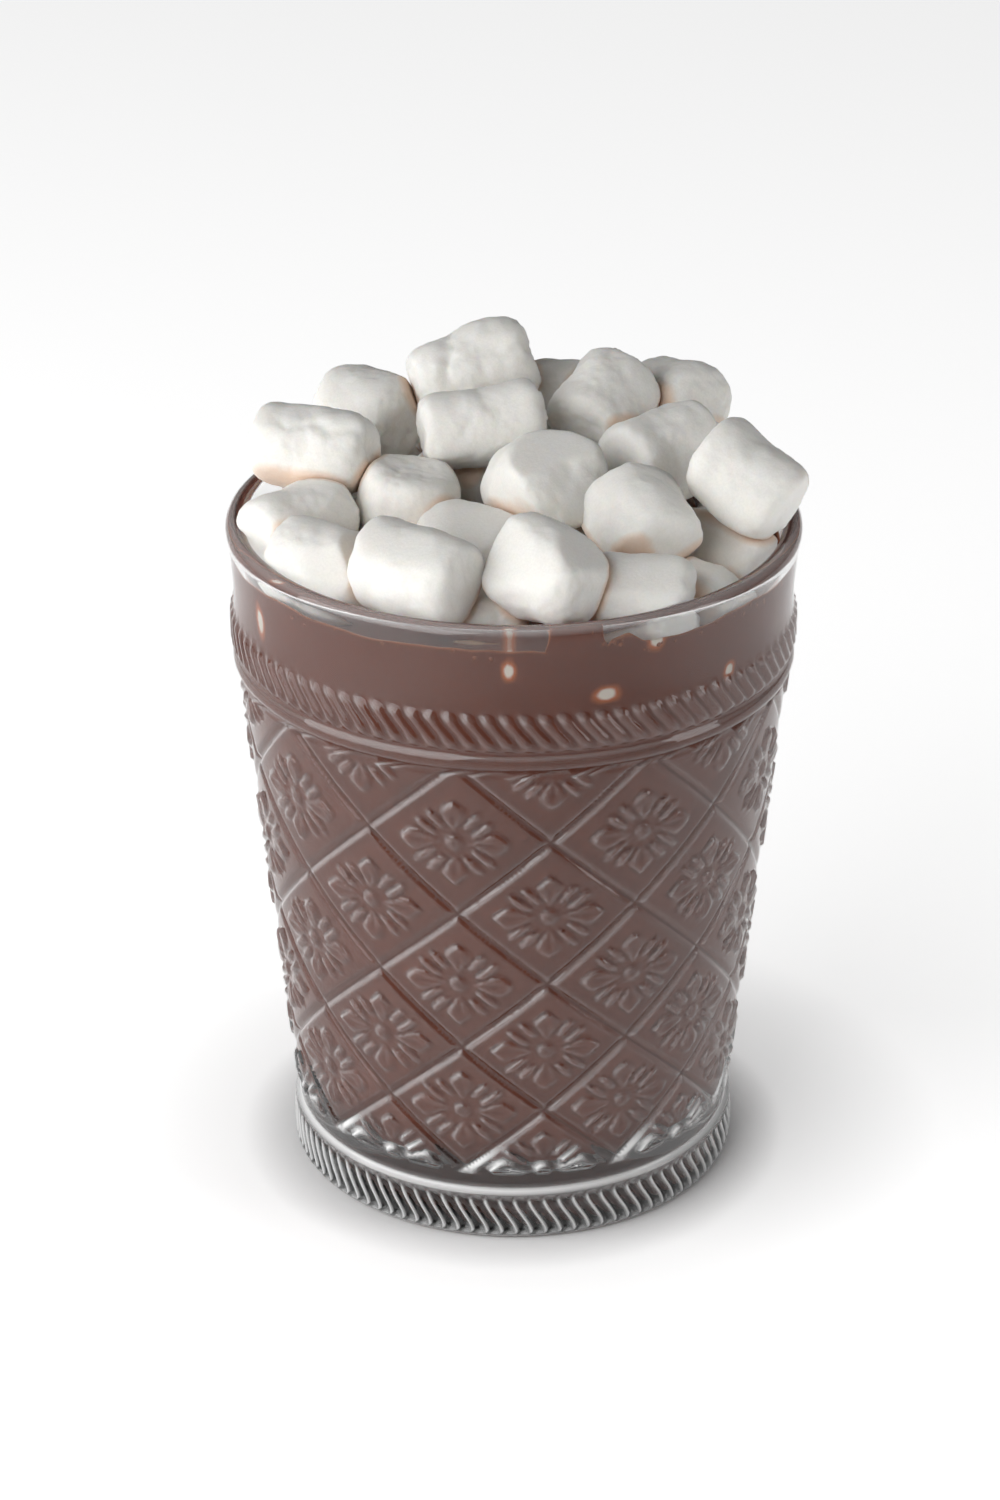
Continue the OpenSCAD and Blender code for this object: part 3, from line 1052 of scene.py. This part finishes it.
    @staticmethod
    def fold(q, way, heading, depth, reach):
        """A pinched fold across the side that faces way."""
        facing = q.normalized().dot(way)
        if facing < 0.2:
            return Vector()
        level = way.cross(Vector((0, 0, 1))).normalized()
        rise = level.cross(way)
        turn = math.radians(heading)
        across = level * math.sin(turn) - rise * math.cos(turn)
        off = q.dot(across) + 0.6 * math.sin(q.dot(level) * 0.9 + q.dot(rise) * 0.5)
        return way * (-depth * math.exp(-((off / 1.0) ** 2)) * smooth((facing - 0.2) / 0.5))

    @staticmethod
    def contact(m1, a1, l1, w1, m2, a2, l2, w2):
        """The plane where two neighbours press together, as a point and the way out."""
        if (m1 - m2).length > l1 + l2 + w1 + w2:
            return None
        h1, h2 = max(0.0, l1 - w1), max(0.0, l2 - w2)
        best = None
        for i in range(-4, 5):
            for j in range(-4, 5):
                p, q = m1 + a1 * h1 * i / 4, m2 + a2 * h2 * j / 4
                apart = (q - p).length
                if best is None or apart < best[0]:
                    best = (apart, p, q)
        apart, p, q = best
        if apart > (w1 + w2) * 1.2:
            return None
        way = (q - p) / apart
        return p + way * (apart * w1 / (w1 + w2) - 0.03), way


# ---------------------------------------------------------------- the stage

# The camera's place, how far it looks down, in degrees, and its lens
EYE, LOOK_DOWN, LENS = (-0.0021, -0.575, 0.3505), 26.2, 148.03
AIM = Vector((0, 0, 0.06))


class HOTCHOC_OT_stage(bpy.types.Operator):
    """Sets the pale floor, the soft studio light and the camera"""

    bl_idname = "hotchoc.stage"
    bl_label = "Stage"

    def execute(self, context):
        settings = context.scene.hotchoc_stage
        scene = context.scene
        bm = bmesh.new()
        bmesh.ops.create_grid(bm, x_segments=8, y_segments=8, size=6.0)
        mesh = bpy.data.meshes.new("floor")
        bm.to_mesh(mesh)
        bm.free()
        mesh.materials.append(floor_material(settings))
        floor = bpy.data.objects.new("floor", mesh)
        scene.collection.objects.link(floor)

        self.surround(scene, settings)
        self.soft_light(scene, "key", (-0.64, -0.45, 0.42), (1.15, 0.8), settings.key_power)
        self.soft_light(scene, "rim", (0.72, -0.2, 0.3), (0.3, 0.6), settings.key_power * 0.17)

        camera = bpy.data.cameras.new("camera")
        camera.sensor_width = 36.0
        camera.sensor_fit = "HORIZONTAL"
        camera.lens = LENS
        camera.clip_end = 20
        eye = bpy.data.objects.new("camera", camera)
        eye.location = EYE
        eye.rotation_euler = (math.radians(90 - LOOK_DOWN), 0, 0)
        scene.collection.objects.link(eye)
        scene.camera = eye
        return {"FINISHED"}

    def surround(self, scene, settings):
        """A studio that is white behind the tumbler and dimmer towards its front."""
        world = bpy.data.worlds.new("studio")
        world.use_nodes = True
        tree = world.node_tree
        way = tree.nodes.new("ShaderNodeTexCoord").outputs["Generated"]
        facing = tree.nodes.new("ShaderNodeVectorMath")
        facing.operation = "DOT_PRODUCT"
        facing.inputs[1].default_value = toward(8, 0)
        height = tree.nodes.new("ShaderNodeSeparateXYZ")
        tree.links.new(way, facing.inputs[0])
        tree.links.new(way, height.inputs[0])
        levels = (settings.surround, settings.front)
        sides = self.spread(tree, facing.outputs["Value"], (0.64, 0.84), levels)
        top = self.spread(tree, height.outputs["Z"], (0.1, 0.6), (1.0, settings.top))
        both = tree.nodes.new("ShaderNodeMath")
        both.operation = "MULTIPLY"
        tree.links.new(sides, both.inputs[0])
        tree.links.new(top, both.inputs[1])
        tree.links.new(both.outputs[0], tree.nodes["Background"].inputs["Strength"])
        scene.world = world
        scene.view_settings.view_transform = "Standard"

    def spread(self, tree, value, start, end):
        """Eases a value from one range to another."""
        node = tree.nodes.new("ShaderNodeMapRange")
        node.interpolation_type = "SMOOTHSTEP"
        tree.links.new(value, node.inputs["Value"])
        for name, number in zip(("From Min", "From Max", "To Min", "To Max"), (*start, *end)):
            node.inputs[name].default_value = number
        return node.outputs[0]

    def soft_light(self, scene, name, place, size, power):
        """A soft lamp that looks at the tumbler and isn't seen itself."""
        light = bpy.data.lights.new(name, "AREA")
        light.shape = "RECTANGLE"
        light.size, light.size_y = size
        light.energy = power
        lamp = bpy.data.objects.new(name, light)
        lamp.location = place
        lamp.rotation_euler = (AIM - Vector(place)).to_track_quat("-Z", "Y").to_euler()
        lamp.visible_camera = False
        scene.collection.objects.link(lamp)


class HOTCHOC_PT_panel(bpy.types.Panel):
    """Lists the pieces in the sidebar"""

    bl_idname = "HOTCHOC_PT_panel"
    bl_label = "Hot Chocolate"
    bl_space_type = "VIEW_3D"
    bl_region_type = "UI"
    bl_category = "Hot Chocolate"

    def draw(self, context):
        parts = (
            ("hotchoc.tumbler", context.scene.hotchoc_glass),
            ("hotchoc.drink", context.scene.hotchoc_drink),
            ("hotchoc.marshmallows", context.scene.hotchoc_marshmallow),
            ("hotchoc.stage", context.scene.hotchoc_stage),
        )
        for operator, settings in parts:
            box = self.layout.box()
            for name in settings.__annotations__:
                box.prop(settings, name)
            box.operator(operator)


CLASSES = (
    GlassSettings,
    DrinkSettings,
    MarshmallowSettings,
    StageSettings,
    HOTCHOC_OT_tumbler,
    HOTCHOC_OT_drink,
    HOTCHOC_OT_marshmallows,
    HOTCHOC_OT_stage,
    HOTCHOC_PT_panel,
)
GROUPS = {
    "hotchoc_glass": GlassSettings,
    "hotchoc_drink": DrinkSettings,
    "hotchoc_marshmallow": MarshmallowSettings,
    "hotchoc_stage": StageSettings,
}


def register():
    for cls in CLASSES:
        bpy.utils.register_class(cls)
    for name, group in GROUPS.items():
        setattr(bpy.types.Scene, name, bpy.props.PointerProperty(type=group))


def unregister():
    for name in GROUPS:
        delattr(bpy.types.Scene, name)
    for cls in reversed(CLASSES):
        bpy.utils.unregister_class(cls)


def main():
    register()
    bpy.ops.hotchoc.stage()
    bpy.ops.hotchoc.tumbler()
    bpy.ops.hotchoc.drink()
    bpy.ops.hotchoc.marshmallows()


if __name__ == "__main__":
    main()
